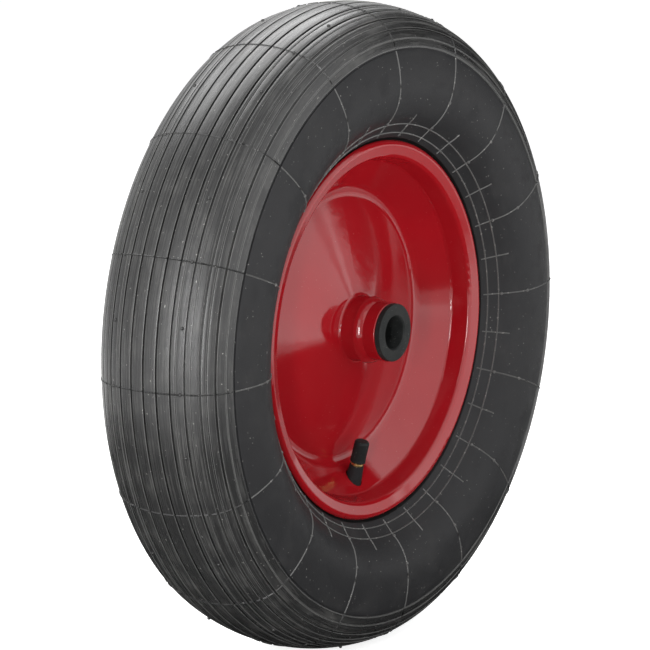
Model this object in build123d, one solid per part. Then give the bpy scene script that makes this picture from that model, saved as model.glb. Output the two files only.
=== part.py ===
from build123d import *
from math import atan2, cos, degrees, radians, sin, tan
import os

# A pneumatic barrow wheel on a two-piece pressed steel rim.
# The wheel's centre is the origin and its axle runs along Y. The valve side faces -Y, and Z is up.
# Sections are drawn with the distance along the axle across and the radius up, then revolved.

# The radius of the rim's bead seat drives the rim, and the tyre stands on it with its section height.
bead_seat_radius = 106.5
flange_height = 8.6
well_depth = 22.0
section_height = 91.0

# Tyre casing: a chain of tangent arcs from the crown to the bead, each radius a share of the section height.
crown_arc_share = 0.879
crown_arc_turn = 22.0
shoulder_arc_share = 0.286
shoulder_arc_turn = 48.0
sidewall_arc_share = 0.824
lower_arc_share = 0.352
lower_arc_turn = 50.0
casing_wall = 4.5

# Tread: grooves that run round the tyre, at an even pitch from the middle groove.
groove_pitch = 8.95
grooves_per_side = 5
groove_width = 1.4
groove_depth = 1.6
shoulder_line_reach = 57.0
shoulder_line_depth = 0.8

# Tyre bead, and the edge of the sidewall beside the flange.
bead_width = 10.5
bead_height = 11.0
bead_clearance = 0.2
heel_radius = 3.0
toe_taper = 2.5
toe_radius = 1.0
flange_gap = 0.6
cover_edge_rise = 2.2
cover_edge_run = 1.6
cover_edge_bend = 1.4
cover_root_bend = 0.8
bead_blend_radius = 6.0

# Rim shells: one profile, pressed in sheet steel, made once for each side.
sheet = 1.5
seat_edge_reach = 29.0
seat_width = 11.8
seat_taper = 13.3
flange_angle = 73.3
flange_lip_length = 3.0
flange_lip_angle = 60.0
flange_lip_bend = 3.0
flange_root_bend = 3.0
well_top_bend = 4.0
seam_width = 5.0
well_bend = 8.5
dome_bend = 6.0
neck_root_bend = 2.0
neck_root_reach = 15.2
neck_root_flare = 0.7
neck_end_reach = 26.0

# Hub tube, its two welds and its two flanged bushes.
hub_radius = 18.0
hub_wall = 3.0
hub_length = 77.0
hub_edge = 0.6
neck_clearance = 0.05
weld_leg = 4.2
weld_rise = 2.4
weld_lap = 1.2
weld_bulge = 0.6
bush_collar_radius = 17.5
bush_collar = 3.5
bush_sleeve_length = 22.0
bush_fit = 0.05
bush_edge = 0.4
axle_radius = 10.1
axle_chamfer = 0.8

# Inner tube.
tube_gap = 0.4
tube_wall = 1.8
tube_shoulder_bend = 5.0
tube_fold = 1.0

# Valve: where its stem meets the front well wall, and how it leans.
valve_swing = 3.7
valve_reach = 10.0
valve_lean = 16.0
valve_hole_gap = 0.5
hole_collar_width = 1.7
hole_collar_height = 0.9
stem_foot_radius = 5.0
stem_top_radius = 4.35
stem_height = 8.8
stem_root = 5.2

# Brass insert and core, with heights measured along the stem from the wall.
insert_shank_radius = 3.2
insert_bottom = 0.4
thread_radius = 3.85
thread_height = 12.7
thread_chamfer = 0.5
insert_bore_radius = 1.6
core_bore_radius = 2.6
core_seat_height = 9.6
core_seat_taper = 1.4
core_recess = 0.4
core_plug_length = 5.0
core_fit = 0.05
core_barrel_radius = 1.9
core_barrel_wall = 0.35
core_floor = 0.8
core_barrel_drop = 2.0
seal_length = 1.4
pin_radius = 0.55
pin_fit = 0.1
pin_head_radius = 1.0
pin_head_height = 0.5
pin_travel = 1.2
pin_rise = 0.3
cup_radius = 1.2
cup_height = 1.2
cup_rubber = 0.5
spring_wire_radius = 0.14
spring_coils = 4
spring_gap = 0.03

# Valve cap.
cap_radius = 4.6
cap_skirt_rise = 0.15
cap_skirt_height = 1.3
cap_standoff = 2.2
cap_thread_gap = 0.3
cap_top_wall = 2.2
cap_top_bend = 1.7
cap_seal_thickness = 0.8
cap_seal_gap = 0.3

# How near a corner or an edge lies to the radius it is looked up by.
match_gap = 0.01


# The arcs of the casing outline on one side, moved inwards by a distance.
def casing_arcs(inset):
    side_turn = 90.0 - crown_arc_turn - shoulder_arc_turn
    tyre_radius = bead_seat_radius + section_height
    crown_radius = crown_arc_share * section_height - inset
    shoulder_radius = shoulder_arc_share * section_height - inset
    side_radius = sidewall_arc_share * section_height - inset
    lower_radius = lower_arc_share * section_height - inset
    crown = JernArc((0, tyre_radius - inset), (1, 0), crown_radius, -crown_arc_turn)
    shoulder = JernArc(crown @ 1, crown % 1, shoulder_radius, -shoulder_arc_turn)
    side = JernArc(shoulder @ 1, shoulder % 1, side_radius, -side_turn)
    lower = JernArc(side @ 1, side % 1, lower_radius, -lower_arc_turn)
    return [crown, shoulder, side, lower]


# A section drawn at the axle, turned into a full ring or disc round it.
def ring(section):
    return revolve(Plane.YZ * section, Axis.Y)


# A section on one side of the wheel's middle plane, joined to its mirror image.
def both_sides(half):
    return half + mirror(half, Plane.YZ)


# The corners of a section at one radius.
def corners_at(section, radius):
    return [corner for corner in section.vertices() if abs(corner.Y - radius) < match_gap]


# The face inside lines and arcs that join end to end.
def closed_face(lines):
    return make_face([edge for line in lines for edge in line.edges()])


# A strip of even thickness along a chain of points, with one bend radius for each inner corner.
def bent_strip(points, bends, thickness):
    path = Wire(FilletPolyline(*points, radius=bends).edges())
    return make_face(path.offset_2d(thickness, kind=Kind.INTERSECTION, side=Side.LEFT, closed=True))


# Sizes of the rim that the tyre, the tube and the valve also use.
neck_end_radius = hub_radius + neck_clearance + sheet
neck_root_radius = neck_end_radius + neck_root_flare
flange_radius = bead_seat_radius + flange_height
well_radius = bead_seat_radius - well_depth
seat_slope = radians(seat_taper)
flange_slope = radians(flange_angle)
seat_face_radius = bead_seat_radius - sheet
seat_inner_reach = seat_edge_reach - seat_width
seat_inner_radius = seat_face_radius - seat_width * tan(seat_slope)
well_slope = atan2(seat_inner_radius - well_radius, seat_inner_reach - sheet)
well_back_radius = well_radius + sheet / cos(well_slope) - sheet * tan(well_slope)

# Corners of the tyre's bead: its heel stands off the seat and the flange by the bead's clearance.
bead_offset = sheet + bead_clearance
slope_gap = tan(flange_slope) - tan(seat_slope)
heel_drop = bead_offset * (1 / cos(flange_slope) - 1 / cos(seat_slope)) / slope_gap
heel_reach = seat_edge_reach - heel_drop
heel_base_radius = seat_face_radius - heel_drop * tan(seat_slope) + bead_offset / cos(seat_slope)
toe_reach = heel_reach - bead_width
toe_base_radius = heel_base_radius - bead_width * tan(seat_slope)


# The line of one rim shell's open face, from the flange's edge to the neck round the hub.
def shell_points():
    lip_angle = radians(flange_lip_angle)
    lip_rise = flange_lip_length * cos(lip_angle)
    corner_reach = seat_edge_reach + (flange_radius - lip_rise - seat_face_radius) / tan(flange_slope)
    return [
        (corner_reach - flange_lip_length * sin(lip_angle), flange_radius),
        (corner_reach, flange_radius - lip_rise),
        (seat_edge_reach, seat_face_radius),
        (seat_inner_reach, seat_inner_radius),
        (sheet, well_radius),
        (sheet, well_radius - seam_width),
        (neck_root_reach, neck_root_radius),
        (neck_end_reach, neck_end_radius),
    ]


def rim_shell():
    bends = [flange_lip_bend, flange_root_bend, well_top_bend, well_bend, dome_bend, neck_root_bend]
    front = [(-reach, radius) for reach, radius in shell_points()]
    return ring(bent_strip(front, bends, sheet))


# The valve's own frame: its origin on the front well wall, its Z along the stem towards the cap.
def valve_plane():
    foot_radius = well_radius + (valve_reach - sheet) * tan(well_slope)
    swing = radians(valve_swing)
    lean = radians(valve_lean)
    outwards = Vector(sin(swing), 0, -cos(swing))
    foot = outwards * foot_radius + Vector(0, -valve_reach, 0)
    direction = outwards * -cos(lean) + Vector(0, -sin(lean), 0)
    return Plane(origin=foot, x_dir=(cos(swing), 0, sin(swing)), z_dir=direction)


valve_frame = valve_plane()


# A turned piece of the valve, from its half section with the radius across and the height up.
def turned(points):
    return valve_frame * revolve(Plane.XZ * make_face(Polyline(*points, close=True)), Axis.Z)


def valve_rod(radius, low, high):
    return valve_frame * Pos(0, 0, low) * extrude(Circle(radius), high - low)


# The front shell has the valve's hole, with the low collar that the punch leaves round it.
def rim_front():
    hole_radius = stem_foot_radius + valve_hole_gap
    shell = rim_shell()
    raised = Pos(0, -hole_collar_height, -hole_collar_height) * shell
    tool = valve_rod(hole_radius + hole_collar_width, -stem_root, stem_height)
    collar = raised & tool
    reach = max(stem_root, stem_height)
    return (shell + collar) - valve_rod(hole_radius, -reach, reach)


# Tyre: the casing with its bead, the edge beside the flange, and the tread's grooves.
def tyre_section():
    outer = casing_arcs(0)
    inner = casing_arcs(casing_wall)
    outside = FilletPolyline(
        outer[-1] @ 1,
        (seat_edge_reach + cover_edge_run, flange_radius + cover_edge_rise),
        (heel_reach, flange_radius + flange_gap),
        (heel_reach, heel_base_radius),
        (toe_reach, toe_base_radius),
        (toe_reach + toe_taper, toe_base_radius + bead_height),
        inner[-1] @ 1,
        radius=[cover_edge_bend, cover_root_bend, heel_radius, toe_radius, bead_blend_radius],
    )
    crown_gap = Line(inner[0] @ 0, outer[0] @ 0)
    half = closed_face(outer + [outside] + inner + [crown_gap])
    outline = Wire(outer)
    for index in range(grooves_per_side + 1):
        half -= tread_cut(outline, index * groove_pitch, groove_width, groove_depth)
    half -= tread_cut(outline, shoulder_line_reach, groove_width, shoulder_line_depth)
    return both_sides(half)


# One groove's cross-section, square to the tread at a distance along it from the middle.
def tread_cut(outline, reach, width, depth):
    place = outline.position_at(reach, PositionMode.LENGTH)
    along = outline.tangent_at(reach, PositionMode.LENGTH)
    angle = degrees(atan2(along.Y, along.X))
    return Pos(place.X, place.Y) * Rot(0, 0, angle) * Rectangle(width, 2 * depth)


# Inner tube: it fills the casing, narrows between the beads and runs down into the well.
def tube_outline(inset):
    arcs = casing_arcs(casing_wall + tube_gap + inset)
    neck_reach = toe_reach - tube_gap - inset
    floor = well_back_radius + (tube_gap + inset) / cos(well_slope)
    foot = FilletPolyline(
        arcs[-1] @ 1,
        (neck_reach + toe_taper, toe_base_radius + bead_height + tube_gap),
        (neck_reach, floor + neck_reach * tan(well_slope)),
        (0, floor),
        radius=[tube_shoulder_bend, tube_fold],
    )
    middle = Line((0, floor), arcs[0] @ 0)
    return closed_face(arcs + [foot, middle])


def inner_tube():
    air = ring(both_sides(tube_outline(tube_wall)))
    skin = ring(both_sides(tube_outline(0)))
    return skin - air - valve_rod(insert_bore_radius, -stem_root - tube_wall, 0)


def hub_tube():
    half = hub_length / 2
    inner = hub_radius - hub_wall
    section = Pos(0, (inner + hub_radius) / 2) * Rectangle(2 * half, hub_wall)
    return ring(fillet(corners_at(section, hub_radius), hub_edge))


# The weld that closes the step between the front neck's end and the hub tube.
def hub_weld():
    top = (weld_lap - neck_end_reach, hub_radius + weld_rise)
    toe = (-neck_end_reach - weld_leg, hub_radius)
    root = (weld_lap - neck_end_reach, hub_radius)
    crest = ((top[0] + toe[0] - weld_bulge) / 2, (top[1] + toe[1] + weld_bulge) / 2)
    return ring(closed_face([ThreePointArc(top, crest, toe), Polyline(toe, root, top)]))


def bush_front():
    collar_face = -(hub_length / 2 + bush_collar)
    seat = -hub_length / 2
    sleeve_end = seat + bush_sleeve_length
    sleeve_radius = hub_radius - hub_wall - bush_fit
    section = make_face(Polyline(
        (collar_face, axle_radius + axle_chamfer),
        (collar_face, bush_collar_radius),
        (seat, bush_collar_radius),
        (seat, sleeve_radius),
        (sleeve_end, sleeve_radius),
        (sleeve_end, axle_radius + axle_chamfer),
        (sleeve_end - axle_chamfer, axle_radius),
        (collar_face + axle_chamfer, axle_radius),
        close=True,
    ))
    return ring(fillet(corners_at(section, bush_collar_radius), bush_edge))


# Valve heights, measured along the stem from the wall.
thread_top = stem_height + thread_height
core_top = thread_top - core_recess
core_plug_bottom = core_top - core_plug_length
seal_bottom = core_seat_height + core_seat_taper
barrel_bottom = core_seat_height - core_barrel_drop
floor_top = barrel_bottom + core_floor
barrel_bore = core_barrel_radius - core_barrel_wall
cup_top = barrel_bottom - cup_rubber
pin_bottom = cup_top - cup_height
pin_room = pin_bottom - 2 * pin_travel
head_top = core_top + pin_rise
collar_bottom = core_plug_bottom - 2 * pin_head_height


def valve_stem():
    body = turned([(0, -stem_root), (stem_foot_radius, -stem_root), (stem_foot_radius, 0),
                   (stem_top_radius, stem_height), (0, stem_height)])
    shank = valve_rod(insert_shank_radius, insert_bottom, stem_height)
    passage = valve_rod(insert_bore_radius, -stem_root, insert_bottom)
    return body - shank - passage - ring(both_sides(tube_outline(0)))


def valve_insert():
    return turned([
        (insert_bore_radius, insert_bottom),
        (insert_shank_radius, insert_bottom),
        (insert_shank_radius, stem_height),
        (thread_radius, stem_height),
        (thread_radius, thread_top - thread_chamfer),
        (thread_radius - thread_chamfer, thread_top),
        (core_bore_radius, thread_top),
        (core_bore_radius, core_seat_height + core_seat_taper),
        (core_barrel_radius + core_fit, core_seat_height),
        (core_barrel_radius + core_fit, pin_room),
        (insert_bore_radius, pin_room - core_barrel_radius + insert_bore_radius),
    ])


def core_body():
    guide = pin_radius + pin_fit
    return turned([
        (guide, barrel_bottom),
        (core_barrel_radius, barrel_bottom),
        (core_barrel_radius, core_plug_bottom),
        (core_bore_radius - core_fit, core_plug_bottom),
        (core_bore_radius - core_fit, core_top),
        (barrel_bore, core_top),
        (barrel_bore, floor_top),
        (guide, floor_top),
    ])


def core_seal():
    return turned([
        (core_barrel_radius, seal_bottom),
        (core_bore_radius - core_fit, seal_bottom),
        (core_bore_radius - core_fit, seal_bottom + seal_length),
        (core_barrel_radius, seal_bottom + seal_length),
    ])


def core_pin():
    rod = valve_rod(pin_radius, pin_bottom, head_top)
    head = valve_rod(pin_head_radius, head_top - pin_head_height, head_top)
    collar = valve_rod(barrel_bore - pin_fit, collar_bottom, collar_bottom + pin_head_height)
    cup = valve_rod(cup_radius, pin_bottom, cup_top)
    return rod + head + collar + cup


def core_cup_seal():
    disc = valve_rod(cup_radius, cup_top, barrel_bottom)
    return disc - valve_rod(pin_radius, cup_top, barrel_bottom)


def core_spring():
    low = floor_top + spring_wire_radius + spring_gap
    high = collar_bottom - spring_wire_radius - spring_gap
    mean_radius = (pin_radius + barrel_bore) / 2
    path = Helix(pitch=(high - low) / spring_coils, height=high - low, radius=mean_radius)
    section = Plane(origin=path @ 0, z_dir=path % 0) * Circle(spring_wire_radius)
    return valve_frame * Pos(0, 0, low) * sweep(section, path, is_frenet=True)


def valve_cap():
    low = stem_height + cap_standoff
    seat = thread_top + cap_seal_gap + cap_seal_thickness
    high = seat + cap_top_wall
    skirt = cap_radius + cap_skirt_rise
    body = turned([
        (thread_radius + cap_thread_gap, low),
        (skirt, low),
        (skirt, low + cap_skirt_height),
        (cap_radius, low + cap_skirt_height + cap_skirt_rise),
        (cap_radius, high),
        (0, high),
        (0, seat),
        (thread_radius + cap_thread_gap, seat),
    ])
    circles = body.edges().filter_by(GeomType.CIRCLE)
    rims = [edge for edge in circles if abs(edge.radius - cap_radius) < match_gap]
    rims.sort(key=lambda edge: valve_frame.to_local_coords(edge.center()).Z)
    return fillet(rims[-1], cap_top_bend)


def cap_seal():
    low = thread_top + cap_seal_gap
    return valve_rod(thread_radius, low, low + cap_seal_thickness)


def save(shape, name):
    shape.label = name
    export_step(shape, f"parts/{name}.step")


def main():
    os.makedirs("parts", exist_ok=True)
    front_shell = rim_front()
    back_shell = mirror(rim_shell(), Plane.XZ)
    tube = hub_tube()
    weld = hub_weld() - rim_shell() - tube
    bush = bush_front()
    save(ring(tyre_section()), "tyre")
    save(inner_tube(), "inner_tube")
    save(front_shell, "rim_front_shell")
    save(back_shell, "rim_back_shell")
    save(tube, "hub_tube")
    save(weld, "hub_weld_front")
    save(mirror(weld, Plane.XZ), "hub_weld_back")
    save(bush, "bush_front")
    save(mirror(bush, Plane.XZ), "bush_back")
    save(valve_stem(), "valve_stem")
    save(valve_insert(), "valve_insert")
    save(core_body(), "valve_core_body")
    save(core_seal(), "valve_core_seal")
    save(core_pin(), "valve_core_pin")
    save(core_cup_seal(), "valve_core_cup_seal")
    save(core_spring(), "valve_core_spring")
    save(valve_cap(), "valve_cap")
    save(cap_seal(), "valve_cap_seal")


main()
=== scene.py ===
import bpy
import bmesh
from math import cos, hypot, pi, radians, sin
from mathutils import Matrix, Vector


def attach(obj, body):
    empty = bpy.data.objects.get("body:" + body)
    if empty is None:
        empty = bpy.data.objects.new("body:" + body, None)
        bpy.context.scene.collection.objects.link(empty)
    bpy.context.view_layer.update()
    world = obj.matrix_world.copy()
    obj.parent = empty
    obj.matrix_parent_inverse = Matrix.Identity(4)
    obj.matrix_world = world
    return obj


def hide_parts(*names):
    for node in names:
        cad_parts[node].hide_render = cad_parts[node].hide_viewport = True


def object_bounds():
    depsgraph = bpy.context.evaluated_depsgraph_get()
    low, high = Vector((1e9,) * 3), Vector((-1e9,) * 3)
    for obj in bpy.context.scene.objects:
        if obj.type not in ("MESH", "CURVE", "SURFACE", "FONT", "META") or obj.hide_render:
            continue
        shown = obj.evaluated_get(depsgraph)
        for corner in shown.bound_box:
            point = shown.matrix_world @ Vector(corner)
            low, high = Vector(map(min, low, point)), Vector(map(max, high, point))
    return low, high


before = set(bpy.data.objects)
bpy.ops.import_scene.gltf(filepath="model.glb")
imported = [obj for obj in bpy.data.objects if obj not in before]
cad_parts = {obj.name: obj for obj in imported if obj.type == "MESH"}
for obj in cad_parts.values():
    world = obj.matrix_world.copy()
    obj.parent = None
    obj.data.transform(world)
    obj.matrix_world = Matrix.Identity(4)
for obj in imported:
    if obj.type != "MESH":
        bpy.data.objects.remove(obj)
cadBox = [list(corner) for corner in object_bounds()]
print("stage 1: frame loaded")


# camera: the photograph's own view, with its principal point as a small shift
cameraView = {
    "azimuth": -56.16,      # degrees from the front, -Y
    "elevation": 9.59,
    "roll": 0.97,
    "distance": 2.3749,     # metres from the wheel's centre
    "lens": 216.64,         # millimetres, as is the sensor
    "sensor": 36,
    "shiftX": -0.01885,
    "shiftY": 0.00049,
}


def addCamera(view):
    azimuth = radians(view["azimuth"])
    elevation = radians(view["elevation"])
    back = Vector((sin(azimuth) * cos(elevation), -cos(azimuth) * cos(elevation), sin(elevation)))
    right = Vector((cos(azimuth), sin(azimuth), 0))
    up = back.cross(right)
    turned = Matrix((right, up, back)).transposed().to_4x4() @ Matrix.Rotation(radians(view["roll"]), 4, "Z")
    data = bpy.data.cameras.new("photoCamera")
    data.sensor_width = view["sensor"]
    data.lens = view["lens"]
    data.shift_x = view["shiftX"]
    data.shift_y = view["shiftY"]
    camera = bpy.data.objects.new("photoCamera", data)
    camera.matrix_world = Matrix.Translation(back * view["distance"]) @ turned
    bpy.context.collection.objects.link(camera)
    bpy.context.scene.camera = camera


addCamera(cameraView)
print("stage 2: camera set")


# small helpers for meshes
mergeGap = 0.000002         # metres; points nearer than this are one
stepGap = 0.00001           # metres; a shorter step in the outline is no step
rounding = 0.000001         # what only rounding makes


def newPiece(bm, name, sharpAngle=35):
    bmesh.ops.remove_doubles(bm, verts=bm.verts, dist=mergeGap)
    bmesh.ops.recalc_face_normals(bm, faces=bm.faces)
    mesh = bpy.data.meshes.new(name)
    bm.to_mesh(mesh)
    bm.free()
    mesh.shade_smooth()
    mesh.set_sharp_from_angle(angle=radians(sharpAngle))
    piece = bpy.data.objects.new(name, mesh)
    bpy.context.collection.objects.link(piece)
    return piece


def vertsOf(geom):
    return [item for item in geom if isinstance(item, bmesh.types.BMVert)]


def nearestVert(bm, place):
    return min(bm.verts, key=lambda vert: (vert.co - place).length)


def extendWire(bm, tip, place):
    grown = bmesh.ops.extrude_vert_indiv(bm, verts=[tip])["verts"][0]
    grown.co = place
    return grown


# new points at the places, joined to a closed loop: the points come first, then the edges
def closedLoop(bm, places):
    corners = [bm.verts.new(place) for place in places]
    following = corners[1:] + corners[:1]
    return corners + [bm.edges.new(pair) for pair in zip(corners, following)]


def wholeOf(bm):
    return bm.verts[:] + bm.edges[:] + bm.faces[:]


# round the axle: one closed skin, or separate copies
def spinRound(bm, steps, copies=False, turn=360):
    bmesh.ops.spin(bm, geom=wholeOf(bm), cent=(0, 0, 0), axis=(0, 1, 0), angle=radians(turn), steps=steps,
                   use_merge=not copies, use_duplicate=copies)


# from the valve side to the back; a gap of -1 joins nothing
def mirrorAcross(bm, joinGap=-1):
    bmesh.ops.mirror(bm, geom=wholeOf(bm), axis="Y", merge_dist=joinGap)


def turnTo(bm, angle):
    turn = Matrix.Rotation(radians(90 - angle), 3, "Y")
    bmesh.ops.rotate(bm, verts=bm.verts, cent=(0, 0, 0), matrix=turn)


def closeEnds(bm):
    bmesh.ops.holes_fill(bm, edges=[edge for edge in bm.edges if edge.is_boundary], sides=3)


# a point of the section on the valve side, from its reach along the axle and its radius
def sectionPoint(reach, radius):
    return Vector((0, -reach, radius))


# tyre: lengths in metres, with distances measured over the outline from the middle of the tread
tyreShape = {
    "radius": 0.1970,           # the mould lines stand up to the tread's full radius
    # radius and turn of each arc, from the crown to the bead
    "arcs": ((0.079989, 22), (0.026026, 48), (0.074984, 20), (0.032032, 50)),
    "wall": 0.0045,
    # place, width and depth
    "grooves": [(0.00895 * index, 0.0014, 0.0016) for index in range(6)],
    "fineLines": [(0.0210, 0.0006, 0.0005), (0.0304, 0.0006, 0.0005), (0.0395, 0.0006, 0.0005),
                  (0.0510, 0.0006, 0.0005), (0.0570, 0.0014, 0.0008)],
    "step": 0.0026,             # between points over the outside, and over the inside
    "innerStep": 0.009,
    "turnSteps": 300,
    "crestBevel": 0.0003,
    "crestDrop": 0.0003,        # a groove's side falls by more than this
    "straightOn": -0.5,         # two edges with a lower product of their directions run straight on
    "treadLow": 0.15,           # radius above which crests are looked for
    "treadEdge": 0.1715,        # radius above which the finish is the tread's
    "edgeArea": 0.0000013,      # square metres; smaller faces on the tread are the ribs' edges
    "beadTop": 0.118,           # the sidewall stands back from this radius up to the waist
    "waist": 0.140,
    "standBack": 0.0105,        # a share of the width
    "gapShadowRadius": 0.1168,        # radius below which the rubber is painted near-black, as the shade in the gap beside the flange
    # reach and radius, from the sidewall down and round the bead
    "coverEdge": ((0.0311, 0.1179), (0.0299, 0.1169)),
    "bead": ((0.0278, 0.1158), (0.02765, 0.1155), (0.02765, 0.1092), (0.0271, 0.1073), (0.0253, 0.1059),
             (0.0182, 0.1042), (0.0172, 0.1049), (0.0193, 0.1134), (0.0209, 0.1162)),
}


# from the outline towards the centre of its arc
def inwards(heading):
    return Vector((0, sin(heading), -cos(heading)))


# a pen follows the valve side's outline, cut into arcs at the marks; depth is below the tread's face
def outlineRuns(shape, marks):
    pen = Vector((0, 0, shape["radius"]))
    heading = 0.0
    walked = 0.0
    depth = 0.0
    runs = []
    for arcRadius, turn in shape["arcs"]:
        arcEnd = walked + arcRadius * radians(turn)
        centre = pen + inwards(heading) * arcRadius
        onThisArc = [mark for mark in marks if walked <= mark[0] < arcEnd]
        for place, drop in onThisArc + [(arcEnd, 0)]:
            angle = (place - walked) / arcRadius
            if angle > 0:
                runs.append({"centre": centre, "radius": arcRadius, "heading": heading, "angle": angle,
                             "depth": depth, "start": walked})
            heading += angle
            walked = place
            depth += drop
        pen = centre - inwards(heading) * arcRadius
    return runs


def runPoint(run, angle, lift):
    return run["centre"] - inwards(run["heading"] + angle) * (run["radius"] + lift)


def placeAt(shape, distance):
    for run in outlineRuns(shape, []):
        angle = (distance - run["start"]) / run["radius"]
        if angle <= run["angle"] + rounding:
            return run, angle


# where the last arc ends and the straight stretch to the cover edge begins
def outlineEnd(shape):
    run = outlineRuns(shape, [])[-1]
    return runPoint(run, run["angle"], 0)


# where the outline steps down into a groove and up again
def tyreMarks(shape):
    marks = []
    for place, width, depth in sorted(shape["grooves"] + shape["fineLines"]):
        marks.append((max(0, place - width / 2), depth))
        marks.append((place + width / 2, -depth))
    return marks


# one side of the casing as a wire in the YZ plane; inset moves the whole outline inwards
def casingWire(bm, shape, marks, inset, step):
    tip = None
    for run in outlineRuns(shape, marks):
        lift = -inset - run["depth"]
        start = runPoint(run, 0, lift)
        if tip is None:
            tip = bm.verts.new(start)
        elif (tip.co - start).length > stepGap:
            tip = extendWire(bm, tip, start)
        steps = max(1, round(run["angle"] * run["radius"] / step))
        spun = bmesh.ops.spin(bm, geom=[tip], cent=run["centre"], axis=(1, 0, 0), angle=run["angle"],
                              steps=steps)
        tip = vertsOf(spun["geom_last"])[0]
    return tip


# a corner where a rib's face meets the side of a groove
def isCrest(vert, shape):
    if len(vert.link_edges) != 2 or vert.co.z < shape["treadLow"]:
        return False
    nextVerts = [edge.other_vert(vert) for edge in vert.link_edges]
    first, second = [(other.co - vert.co).normalized() for other in nextVerts]
    if first.dot(second) < shape["straightOn"]:
        return False
    return min(other.co.length - vert.co.length for other in nextVerts) < -shape["crestDrop"]


# the sidewall stands back by a mould line's height, so that the lines end at the tyre's width
def keepWidth(bm, shape):
    for vert in bm.verts:
        radius = hypot(vert.co.x, vert.co.z)
        share = min(1, max(0, (radius - shape["beadTop"]) / (shape["waist"] - shape["beadTop"])))
        vert.co.y *= 1 - shape["standBack"] * share


def makeTyre(shape):
    bm = bmesh.new()
    outerTip = casingWire(bm, shape, tyreMarks(shape), 0, shape["step"])
    for reach, radius in shape["coverEdge"] + shape["bead"]:
        outerTip = extendWire(bm, outerTip, sectionPoint(reach, radius))
    crests = [vert for vert in bm.verts if isCrest(vert, shape)]
    bmesh.ops.bevel(bm, geom=crests, offset=shape["crestBevel"], offset_type="OFFSET", segments=2,
                    profile=0.5, affect="VERTICES", material=-1)
    innerTip = casingWire(bm, shape, [], shape["wall"], shape["innerStep"])
    outerTip = nearestVert(bm, sectionPoint(*shape["bead"][-1]))        # the bevel remade the points
    bm.edges.new((outerTip, innerTip))
    keepWidth(bm, shape)
    mirrorAcross(bm, mergeGap)
    spinRound(bm, shape["turnSteps"])
    return newPiece(bm, "tyreSkin")


tyreSkin = makeTyre(tyreShape)
print("stage 3: tyre made", len(tyreSkin.data.polygons), "faces")


# mould lines: thin raised ribs over the tyre, short ticks and two rings beside the rim, and vent nubs
mouldLines = {
    "count": 16,
    "firstAngle": 3.6,          # degrees from +X towards +Z
    "width": 0.0011,
    "height": 0.0005,
    "sunk": 0.0001,             # how far a rib's foot is below the surface
    "sharpAngle": 60,
    "tickStart": 0.0985,        # the ticks lie halfway between the long lines
    "rings": (0.1200, 0.1256),
    # place over the outline, and whether the nub is halfway between the lines
    "nubPlaces": ((0.0242, False), (0.0242, True), (0.0860, False), (0.1050, False)),
    "nubRadius": 0.0011,
}


# a rib's three-cornered section, standing on the surface
def ribSection(bm, foot, out, lines, across=Vector((1, 0, 0))):
    side = across * (lines["width"] / 2)
    low = foot - out * lines["sunk"]
    return closedLoop(bm, (low - side, foot + out * lines["height"], low + side))


def ribAlongRun(bm, run, lines, step):
    out = -inwards(run["heading"])
    section = ribSection(bm, runPoint(run, 0, 0), out, lines)
    steps = max(1, round(run["angle"] * run["radius"] / step))
    bmesh.ops.spin(bm, geom=section, cent=run["centre"], axis=(1, 0, 0), angle=run["angle"], steps=steps)


# the outline's straight stretch, from the last arc down to the cover edge
def straightStretch(shape):
    start = outlineEnd(shape)
    way = sectionPoint(*shape["coverEdge"][0]) - start
    out = Vector((0, way.z, -way.y)).normalized()
    return start, way, out


def ribOverStretch(bm, shape, lines):
    start, way, out = straightStretch(shape)
    section = ribSection(bm, start, out, lines)
    grown = bmesh.ops.extrude_edge_only(bm, edges=section[3:])["geom"]
    bmesh.ops.translate(bm, verts=vertsOf(grown), vec=way)


# both sides of the tyre, and a copy for each line round it
def repeatRound(bm, shape, lines, firstAngle):
    mirrorAcross(bm)
    keepWidth(bm, shape)
    turnTo(bm, firstAngle)
    spinRound(bm, lines["count"] - 1, copies=True, turn=360 - 360 / lines["count"])


def makeMouldLines(shape, lines):
    bm = bmesh.new()
    for run in outlineRuns(shape, tyreMarks(shape)):
        if run["depth"] < rounding:
            ribAlongRun(bm, run, lines, shape["step"])
    ribOverStretch(bm, shape, lines)
    closeEnds(bm)
    repeatRound(bm, shape, lines, lines["firstAngle"])
    return newPiece(bm, "mouldLines", lines["sharpAngle"])


def makeBeadTicks(shape, lines):
    bm = bmesh.new()
    run, angle = placeAt(shape, lines["tickStart"])
    rest = dict(run, heading=run["heading"] + angle, angle=run["angle"] - angle)
    ribAlongRun(bm, rest, lines, shape["step"])
    ribOverStretch(bm, shape, lines)
    closeEnds(bm)
    repeatRound(bm, shape, lines, lines["firstAngle"] + 180 / lines["count"])
    return newPiece(bm, "beadTicks", lines["sharpAngle"])


def makeBeadRings(shape, lines):
    bm = bmesh.new()
    start, way, out = straightStretch(shape)
    for ringRadius in lines["rings"]:
        foot = start + way * ((ringRadius - start.z) / way.z)
        ribSection(bm, foot, out, lines, across=way.normalized())
    keepWidth(bm, shape)
    mirrorAcross(bm)
    spinRound(bm, shape["turnSteps"])
    return newPiece(bm, "beadRings", lines["sharpAngle"])


def makeNubs(shape, lines):
    bm = bmesh.new()
    halfway = Matrix.Rotation(radians(180 / lines["count"]), 4, "Y")
    for place, between in lines["nubPlaces"]:
        run, angle = placeAt(shape, place)
        at = Matrix.Translation(runPoint(run, angle, 0))
        if between:
            at = halfway @ at
        bmesh.ops.create_icosphere(bm, subdivisions=2, radius=lines["nubRadius"], matrix=at)
    repeatRound(bm, shape, lines, lines["firstAngle"])
    return newPiece(bm, "ventNubs", lines["sharpAngle"])


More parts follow.
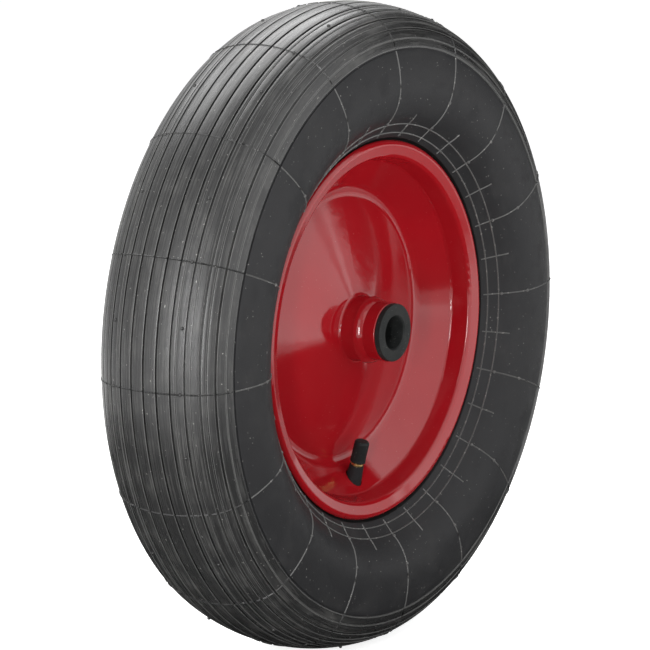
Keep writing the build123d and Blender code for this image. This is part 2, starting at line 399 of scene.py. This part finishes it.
mouldMakers = (makeMouldLines, makeBeadTicks, makeBeadRings, makeNubs)
mouldPieces = [make(tyreShape, mouldLines) for make in mouldMakers]
print("stage 4: mould lines made", sum(len(piece.data.polygons) for piece in mouldPieces), "faces")


# valve: the thread on the brass insert, wound round the stem's own axis
valveShape = {
    "foot": (0.006072, -0.010, -0.093893),      # where the stem meets the rim's wall
    "stem": (-0.062032, -0.275637, 0.959258),   # its direction
    "threadRadius": 0.00380,
    "threadHeight": 0.00023,
    "halfRidge": 0.36,                          # a share of the pitch
    "pitch": 0.0008,
    "low": 0.0091,                              # height over the foot where the thread begins
    "turns": 14,
    "stepsPerTurn": 28,
}


def makeThread(valve):
    bm = bmesh.new()
    half = valve["pitch"] * valve["halfRidge"]
    low = valve["low"]
    radius = valve["threadRadius"]
    ridge = closedLoop(bm, ((radius, 0, low - half), (radius + valve["threadHeight"], 0, low),
                            (radius, 0, low + half)))
    bmesh.ops.spin(bm, geom=ridge, cent=(0, 0, 0), axis=(0, 0, 1), angle=radians(360 * valve["turns"]),
                   steps=valve["turns"] * valve["stepsPerTurn"],
                   dvec=(0, 0, valve["pitch"] / valve["stepsPerTurn"]))
    closeEnds(bm)
    leaning = Vector(valve["stem"]).to_track_quat("Z", "Y").to_matrix()
    bmesh.ops.rotate(bm, verts=bm.verts, cent=(0, 0, 0), matrix=leaning)
    bmesh.ops.translate(bm, verts=bm.verts, vec=valve["foot"])
    return newPiece(bm, "valveThread")


valveThread = makeThread(valveShape)
print("stage 5: valve thread made", len(valveThread.data.polygons), "faces")


# materials: shared effects as node groups, read in object coordinates
def newGroup(name, inputs, outputs):
    group = bpy.data.node_groups.new(name, "ShaderNodeTree")
    for socket, default in inputs:
        item = group.interface.new_socket(socket, in_out="INPUT", socket_type="NodeSocketFloat")
        item.default_value = default
    for socket in outputs:
        group.interface.new_socket(socket, in_out="OUTPUT", socket_type="NodeSocketFloat")
    return group, group.nodes.new("NodeGroupInput"), group.nodes.new("NodeGroupOutput")


def addNode(tree, kind, **values):
    node = tree.nodes.new(kind)
    for name, value in values.items():
        setattr(node, name, value)
    return node


def mathNode(tree, operation, first, second=None):
    node = addNode(tree, "ShaderNodeMath", operation=operation)
    for index, value in enumerate((first, second)):
        if isinstance(value, (int, float)):
            node.inputs[index].default_value = value
        elif value is not None:
            tree.links.new(value, node.inputs[index])
    return node.outputs[0]


def objectPlace(tree):
    return addNode(tree, "ShaderNodeTexCoord").outputs["Object"]


def noiseNode(tree, vector, scale, detail=3.0, roughness=0.5):
    node = addNode(tree, "ShaderNodeTexNoise")
    node.inputs["Detail"].default_value = detail
    node.inputs["Roughness"].default_value = roughness
    tree.links.new(vector, node.inputs["Vector"])
    if isinstance(scale, (int, float)):
        node.inputs["Scale"].default_value = scale
    else:
        tree.links.new(scale, node.inputs["Scale"])
    return node.outputs["Fac"]


# a soft step: bottom where the value is low or less, top where it is high or more
def stepNode(tree, value, low, high, top=1.0, bottom=0.0):
    node = addNode(tree, "ShaderNodeMapRange", interpolation_type="SMOOTHSTEP")
    tree.links.new(value, node.inputs["Value"])
    for name, amount in (("From Min", low), ("From Max", high), ("To Min", bottom), ("To Max", top)):
        if isinstance(amount, (int, float)):
            node.inputs[name].default_value = amount
        else:
            tree.links.new(amount, node.inputs[name])
    return node.outputs["Result"]


# dust: soft patches of settled dust and a few sharp specks
dustPattern = {
    "patchLow": 0.35,
    "patchHigh": 0.75,
    "speckBlur": 0.05,
    "start": (("Patch Scale", 30.0), ("Speck Scale", 900.0), ("Speck Cut", 0.70)),
}
streakPattern = {
    "low": 0.38,
    "high": 0.72,
    "start": (("Along", 40.0), ("Across", 900.0)),
}


def makeDustGroup(pattern):
    group, given, result = newGroup("settledDust", pattern["start"], ("Patches", "Specks"))
    vector = objectPlace(group)
    patches = noiseNode(group, vector, given.outputs["Patch Scale"], detail=5.0, roughness=0.6)
    settled = stepNode(group, patches, pattern["patchLow"], pattern["patchHigh"])
    group.links.new(settled, result.inputs["Patches"])
    specks = noiseNode(group, vector, given.outputs["Speck Scale"], detail=1.0)
    cutTop = mathNode(group, "ADD", given.outputs["Speck Cut"], pattern["speckBlur"])
    group.links.new(stepNode(group, specks, given.outputs["Speck Cut"], cutTop), result.inputs["Specks"])
    return group


# fine streaks that run round the wheel: the pattern is drawn out along the turn
def makeStreakGroup(pattern):
    group, given, result = newGroup("turnStreaks", pattern["start"], ("Streaks",))
    parts = addNode(group, "ShaderNodeSeparateXYZ")
    group.links.new(objectPlace(group), parts.inputs[0])
    drawn = addNode(group, "ShaderNodeCombineXYZ")
    for axis, scale in (("X", "Along"), ("Y", "Across"), ("Z", "Along")):
        stretched = mathNode(group, "MULTIPLY", parts.outputs[axis], given.outputs[scale])
        group.links.new(stretched, drawn.inputs[axis])
    streaks = noiseNode(group, drawn.outputs["Vector"], scale=1.0, roughness=0.65)
    group.links.new(stepNode(group, streaks, pattern["low"], pattern["high"]), result.inputs["Streaks"])
    return group


dustGroup = makeDustGroup(dustPattern)
streakGroup = makeStreakGroup(streakPattern)


def newMaterial(name):
    material = bpy.data.materials.new(name)
    material.use_nodes = True
    return material, material.node_tree.nodes["Principled BSDF"], material.node_tree


def groupNode(tree, group, **values):
    node = addNode(tree, "ShaderNodeGroup", node_tree=group)
    for name, value in values.items():
        node.inputs[name.replace("_", " ")].default_value = value
    return node


def mixColor(tree, factor, first, second):
    node = addNode(tree, "ShaderNodeMix", data_type="RGBA")
    tree.links.new(factor, node.inputs["Factor"])
    for index, value in ((6, first), (7, second)):      # the node's two colour sockets
        if isinstance(value, tuple):
            node.inputs[index].default_value = (*value, 1)
        else:
            tree.links.new(value, node.inputs[index])
    return node.outputs[2]


def bumpNode(tree, shader, height, strength, distance):
    node = addNode(tree, "ShaderNodeBump")
    node.inputs["Strength"].default_value = strength
    node.inputs["Distance"].default_value = distance
    tree.links.new(height, node.inputs["Height"])
    tree.links.new(node.outputs["Normal"], shader.inputs["Normal"])


def dustNode(tree, look):
    return groupNode(tree, dustGroup, Patch_Scale=look["patchScale"], Speck_Scale=look["speckScale"],
                     Speck_Cut=look["speckCut"]).outputs


# the base colour, then patches of dust, then specks
def setColor(tree, shader, look, base, patches, specks):
    dusty = mixColor(tree, mathNode(tree, "MULTIPLY", patches, look["dustAmount"]), base, look["dust"])
    speckAmount = mathNode(tree, "MULTIPLY", specks, look["specks"])
    tree.links.new(mixColor(tree, speckAmount, dusty, look["speck"]), shader.inputs["Base Color"])


# roughness from roughLow to roughTop as the pattern rises
def setGloss(tree, shader, look, pattern):
    roughness = stepNode(tree, pattern, 0, 1, top=look["roughTop"], bottom=look["roughLow"])
    tree.links.new(roughness, shader.inputs["Roughness"])
    if "specular" in look:
        shader.inputs["Specular IOR Level"].default_value = look["specular"]


# rubber: nearly black, with dust in patches and specks, the dust drawn into pale streaks round the turn that
# are partly dust and partly a painted sheen, and a fine moulded grain
def rubberMaterial(name, look):
    material, shader, tree = newMaterial(name)
    dust = dustNode(tree, look)
    streaks = groupNode(tree, streakGroup, Along=look["streakAlong"],
                        Across=look["streakAcross"]).outputs["Streaks"]
    # the dust shows only along the streaks: partly dust, partly a painted sheen along the ribs
    patches = mathNode(tree, "MULTIPLY", dust["Patches"], streaks)
    setColor(tree, shader, look, look["black"], patches, dust["Specks"])
    setGloss(tree, shader, look, streaks)
    grain = noiseNode(tree, objectPlace(tree), look["grainScale"], detail=2.0, roughness=0.6)
    bumpNode(tree, shader, grain, look["grain"], look["grainDepth"])
    return material


sideLook = {
    "black": (0.020, 0.020, 0.021), "dust": (0.10, 0.098, 0.094), "speck": (0.38, 0.37, 0.35),
    "dustAmount": 0.12, "specks": 0.35, "patchScale": 30.0, "speckScale": 620.0, "speckCut": 0.735,
    "streakAlong": 60.0, "streakAcross": 160.0, "roughLow": 0.44, "roughTop": 0.60, "specular": 0.10,
    "grainScale": 1500.0, "grain": 0.5, "grainDepth": 0.0002,
}
# the tread's dust is heavier and drawn into fine streaks: partly dust, partly a painted sheen on the ribs
treadLook = dict(sideLook, black=(0.019, 0.019, 0.019), dust=(0.13, 0.128, 0.122), dustAmount=0.45,
                 patchScale=55.0, streakAlong=26.0, streakAcross=1100.0, roughLow=0.25, roughTop=0.48,
                 specular=0.36, specks=0.5)
# near-black rubber for the bead and the cover edge: painted shade of the gap between the flange and the tyre
gapShadowLook = dict(sideLook, black=(0.006, 0.006, 0.006), specks=0.1, specular=0.05)
smallLook = dict(sideLook, black=(0.014, 0.014, 0.015), speckScale=2500.0, speckCut=0.74, grainScale=3000.0)
# paler rubber on the ribs' edges: partly worn rubber, partly a painted highlight on the crests
edgeWearAndHighlightLook = dict(treadLook, black=(0.085, 0.085, 0.083), specular=0.5)
lineLook = dict(sideLook, black=(0.080, 0.080, 0.078), specular=0.30, speckCut=0.64)


# red enamel: slight orange peel, faint clouding, a little dust and a few specks
def enamelMaterial(name, look):
    material, shader, tree = newMaterial(name)
    dust = dustNode(tree, look)
    vector = objectPlace(tree)
    cloudNoise = noiseNode(tree, vector, look["cloudScale"])
    clouds = stepNode(tree, cloudNoise, look["cloudLow"], look["cloudHigh"])
    base = mixColor(tree, clouds, look["red"], look["deepRed"])
    setColor(tree, shader, look, base, dust["Patches"], dust["Specks"])
    setGloss(tree, shader, look, clouds)
    height = noiseNode(tree, vector, look["peelScale"], detail=2.0)
    if look["ripples"]:
        parts = addNode(tree, "ShaderNodeSeparateXYZ")
        tree.links.new(vector, parts.inputs[0])
        angle = mathNode(tree, "ARCTAN2", parts.outputs["Z"], parts.outputs["X"])
        wave = mathNode(tree, "SINE", mathNode(tree, "MULTIPLY", angle, look["ripples"]))
        height = mathNode(tree, "ADD", mathNode(tree, "MULTIPLY", wave, look["rippleShare"]), height)
    bumpNode(tree, shader, height, look["peel"], look["peelDepth"])
    return material


enamelLook = {
    "red": (0.262, 0.0046, 0.0085), "deepRed": (0.235, 0.0036, 0.0070), "dust": (0.26, 0.06, 0.05),
    "speck": (0.55, 0.30, 0.26), "dustAmount": 0.06, "specks": 0.35, "patchScale": 22.0,
    "speckScale": 1100.0, "speckCut": 0.76, "cloudScale": 14.0, "cloudLow": 0.3, "cloudHigh": 0.7,
    "roughLow": 0.07, "roughTop": 0.12, "specular": 0.40, "peelScale": 110.0, "peel": 0.08,
    "peelDepth": 0.0006, "ripples": 0,
}
weldLook = dict(enamelLook, ripples=22, rippleShare=0.5, peel=0.15, peelDepth=0.0003)


# satin plastic: its dust also dulls it
def plasticMaterial(name, look):
    material, shader, tree = newMaterial(name)
    dust = dustNode(tree, look)
    setColor(tree, shader, look, look["black"], dust["Patches"], dust["Specks"])
    setGloss(tree, shader, look, dust["Patches"])
    grain = noiseNode(tree, objectPlace(tree), look["grainScale"], roughness=0.6)
    bumpNode(tree, shader, grain, look["grain"], look["grainDepth"])
    return material


plasticLook = {
    "black": (0.012, 0.013, 0.013), "dust": (0.07, 0.07, 0.067), "speck": (0.35, 0.35, 0.33),
    "dustAmount": 0.2, "specks": 0.6, "patchScale": 90.0, "speckScale": 1600.0, "speckCut": 0.73,
    "roughLow": 0.42, "roughTop": 0.58, "specular": 0.08, "grainScale": 1400.0, "grain": 0.25,
    "grainDepth": 0.0002,
}


# turned metal: fine lines square to the valve's stem, with some tarnish
def metalMaterial(name, look):
    material, shader, tree = newMaterial(name)
    vector = objectPlace(tree)
    tarnishNoise = noiseNode(tree, vector, look["tarnishScale"], detail=4.0, roughness=0.6)
    tarnish = stepNode(tree, tarnishNoise, look["tarnishLow"], look["tarnishHigh"])
    tree.links.new(mixColor(tree, tarnish, look["bright"], look["dull"]), shader.inputs["Base Color"])
    setGloss(tree, shader, look, tarnish)
    shader.inputs["Metallic"].default_value = 1.0
    along = addNode(tree, "ShaderNodeVectorMath", operation="DOT_PRODUCT")
    tree.links.new(vector, along.inputs[0])
    along.inputs[1].default_value = valveShape["stem"]
    lines = mathNode(tree, "SINE", mathNode(tree, "MULTIPLY", along.outputs["Value"], look["lineScale"]))
    bumpNode(tree, shader, lines, look["lines"], look["lineDepth"])
    return material


brassLook = {
    "bright": (0.68, 0.47, 0.20), "dull": (0.42, 0.27, 0.10), "tarnishScale": 500.0, "tarnishLow": 0.4,
    "tarnishHigh": 0.7, "roughLow": 0.22, "roughTop": 0.45, "lineScale": 30000.0, "lines": 0.2,
    "lineDepth": 0.00003,
}
steelLook = dict(brassLook, bright=(0.55, 0.55, 0.56), dull=(0.33, 0.33, 0.34))

sideRubber = rubberMaterial("sidewallRubber", sideLook)
treadRubber = rubberMaterial("treadRubber", treadLook)
edgeWearAndHighlightRubber = rubberMaterial("wornAndHighlightEdgeRubber", edgeWearAndHighlightLook)
gapShadowRubber = rubberMaterial("gapShadowRubber", gapShadowLook)
lineRubber = rubberMaterial("mouldLineRubber", lineLook)
smallRubber = rubberMaterial("smallRubber", smallLook)
enamel = enamelMaterial("redEnamel", enamelLook)
weldEnamel = enamelMaterial("weldEnamel", weldLook)
blackPlastic = plasticMaterial("satinPlastic", plasticLook)
brass = metalMaterial("turnedBrass", brassLook)
steel = metalMaterial("drawnWire", steelLook)

# what each CAD node is finished in
finishes = {
    "tyre": sideRubber, "inner_tube": smallRubber, "rim_front_shell": enamel, "rim_back_shell": enamel,
    "hub_tube": enamel, "hub_weld_front": weldEnamel, "hub_weld_back": weldEnamel, "bush_front": blackPlastic,
    "bush_back": blackPlastic, "valve_stem": smallRubber, "valve_insert": brass, "valve_core_body": brass,
    "valve_core_seal": smallRubber, "valve_core_pin": brass, "valve_core_cup_seal": smallRubber,
    "valve_core_spring": steel, "valve_cap": blackPlastic, "valve_cap_seal": smallRubber,
}
for node, material in finishes.items():
    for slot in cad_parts[node].material_slots:
        slot.material = material


# each face by its radius: near-black painted shade in the flange's gap, then sidewall or tread, where the
# smallest faces are the ribs' edges, paler as partly wear and partly a painted highlight
def finishTyre(piece, shape, side, tread, edges):
    for material in (side, tread, gapShadowRubber, edges):
        piece.data.materials.append(material)
    for face in piece.data.polygons:
        radius = hypot(face.center.x, face.center.z)
        # faces in the flange's gap take the near-black painted shade
        if radius < shape["gapShadowRadius"]:
            face.material_index = 2
        elif radius > shape["treadEdge"]:
            # the ribs' edges take the paler rubber, partly wear and partly a painted highlight
            face.material_index = 3 if face.area < shape["edgeArea"] else 1


finishTyre(tyreSkin, tyreShape, sideRubber, treadRubber, edgeWearAndHighlightRubber)
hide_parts("tyre")
for piece in mouldPieces:
    finishTyre(piece, tyreShape, lineRubber, treadRubber, treadRubber)
for piece in mouldPieces + [tyreSkin]:
    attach(piece, "wheel")
valveThread.data.materials.append(brass)
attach(valveThread, "wheel")
print("stage 6: materials set")


# studio: a pale floor, soft windows of light, and black and grey cards that only gloss sees
studio = {
    "floorSize": 30.0,
    "worldLight": 0.30,
    "floorColor": 0.80,
    "floorRoughness": 0.9,
    "floorSpecular": 0.1,
    "floorShown": 0.78,         # added where the camera, gloss or glass looks at the floor
    "cardLift": 0.002,          # a card without a height lies this far over the floor
    # place round the wheel, and the height over the axle that the lamp looks at;
    # shift moves it across and up in its own plane, and roll turns it there
    "lamps": [
        {"name": "frontWindow", "azimuth": -15, "distance": 0.62, "height": 0, "aim": 0,
         "shift": (0.475, 0.475), "size": (1.65, 1.45), "radiance": 1.25},
        {"name": "lowWindow", "azimuth": 62, "distance": 3.0, "height": 0, "aim": 0,
         "shift": (-0.231, -0.345), "roll": -23, "size": (1.62, 1.24), "radiance": 1.35},
        {"name": "leftWindow", "azimuth": -95, "distance": 1.7, "height": 0.60, "aim": 0.60,
         "size": (2.2, 1.6), "radiance": 1.5},
        {"name": "leftStrip", "azimuth": -89, "distance": 1.6, "height": 0.26, "aim": 0.26,
         "size": (0.20, 0.90), "radiance": 16.0},
        {"name": "edgeStrip", "azimuth": -65, "distance": 1.7, "height": 0.10, "aim": 0.10,
         "size": (0.09, 0.58), "radiance": 60.0},
        {"name": "backWindow", "azimuth": 150, "distance": 0.80, "height": 1.35, "aim": 0,
         "size": (1.5, 1.2), "radiance": 5.0},
    ],
    "cards": [
        {"name": "rightCard", "azimuth": 80, "distance": 3.6, "height": 1.6, "size": (5.2, 3.6),
         "shade": 0.01},
        {"name": "floorCard", "azimuth": 0, "distance": 0.20, "size": (0.9, 1.5), "shade": 0.01},
        {"name": "sideCard", "azimuth": 88, "distance": 1.12, "size": (1.3, 1.3), "shade": 0.50},
    ],
}


# a place round the wheel, by azimuth from the front, distance and height
def roundPlace(azimuth, distance, height):
    angle = radians(azimuth)
    return Vector((sin(angle) * distance, -cos(angle) * distance, height))


# 1 where the camera, gloss or glass looks, and 0 for light that falls on the pieces
def seenShare(tree):
    path = addNode(tree, "ShaderNodeLightPath")
    share = mathNode(tree, "MAXIMUM", path.outputs["Is Camera Ray"], path.outputs["Is Glossy Ray"])
    return mathNode(tree, "MAXIMUM", share, path.outputs["Is Transmission Ray"])


def makeWorld(setup):
    world = bpy.data.worlds.new("studioWorld")
    bpy.context.scene.world = world
    world.use_nodes = True
    tree = world.node_tree
    strength = stepNode(tree, seenShare(tree), 0, 1, bottom=setup["worldLight"])
    tree.links.new(strength, tree.nodes["Background"].inputs["Strength"])
    tree.nodes["Background"].inputs["Color"].default_value = (1, 1, 1, 1)


def addLamp(lamp):
    data = bpy.data.lights.new(lamp["name"], "AREA")
    data.shape = "RECTANGLE"
    data.size, data.size_y = lamp["size"]
    data.energy = lamp["radiance"] * pi * data.size * data.size_y
    light = bpy.data.objects.new(lamp["name"], data)
    place = roundPlace(lamp["azimuth"], lamp["distance"], lamp["height"])
    facing = (place - Vector((0, 0, lamp["aim"]))).to_track_quat("Z", "Y").to_matrix().to_4x4()
    across, up = lamp.get("shift", (0, 0))
    shifted = Matrix.Translation((across, up, 0)) @ Matrix.Rotation(radians(lamp.get("roll", 0)), 4, "Z")
    light.matrix_world = Matrix.Translation(place) @ facing @ shifted
    light.visible_camera = False
    bpy.context.collection.objects.link(light)


# a card stands upright at its height or lies on the floor, and only gloss sees it
def addCard(card, lyingHeight):
    material, shader = newMaterial(card["name"])[:2]
    shader.inputs["Base Color"].default_value = (card["shade"],) * 3 + (1,)
    shader.inputs["Specular IOR Level"].default_value = 0.0
    bm = bmesh.new()
    bmesh.ops.create_grid(bm, x_segments=1, y_segments=1, size=0.5)
    bmesh.ops.scale(bm, verts=bm.verts, vec=(card["size"][0], card["size"][1], 1))
    facing = Matrix.Rotation(radians(card["azimuth"]), 3, "Z")
    if "height" in card:
        facing = facing @ Matrix.Rotation(radians(90), 3, "X")
    bmesh.ops.rotate(bm, verts=bm.verts, cent=(0, 0, 0), matrix=facing)
    at = roundPlace(card["azimuth"], card["distance"], card.get("height", lyingHeight))
    bmesh.ops.translate(bm, verts=bm.verts, vec=at)
    piece = newPiece(bm, card["name"])
    piece.data.materials.append(material)
    piece.visible_camera = False
    piece.visible_diffuse = False
    piece.visible_shadow = False


def makeStudio(setup):
    makeWorld(setup)
    for lamp in setup["lamps"]:
        addLamp(lamp)
    floorHeight = cadBox[0][2]
    for card in setup["cards"]:
        addCard(card, floorHeight + setup["cardLift"])
    bm = bmesh.new()
    bmesh.ops.create_grid(bm, x_segments=4, y_segments=4, size=setup["floorSize"] / 2)
    bmesh.ops.translate(bm, verts=bm.verts, vec=(0, 0, floorHeight))
    floor = newPiece(bm, "studioFloor")
    material, shader, tree = newMaterial("paleFloor")
    shader.inputs["Base Color"].default_value = (setup["floorColor"],) * 3 + (1,)
    shader.inputs["Roughness"].default_value = setup["floorRoughness"]
    shader.inputs["Specular IOR Level"].default_value = setup["floorSpecular"]
    shader.inputs["Emission Color"].default_value = (1, 1, 1, 1)
    shown = mathNode(tree, "MULTIPLY", seenShare(tree), setup["floorShown"])
    tree.links.new(shown, shader.inputs["Emission Strength"])
    floor.data.materials.append(material)


makeStudio(studio)
bpy.context.scene.view_settings.view_transform = "Standard"
print("stage 7: studio set")
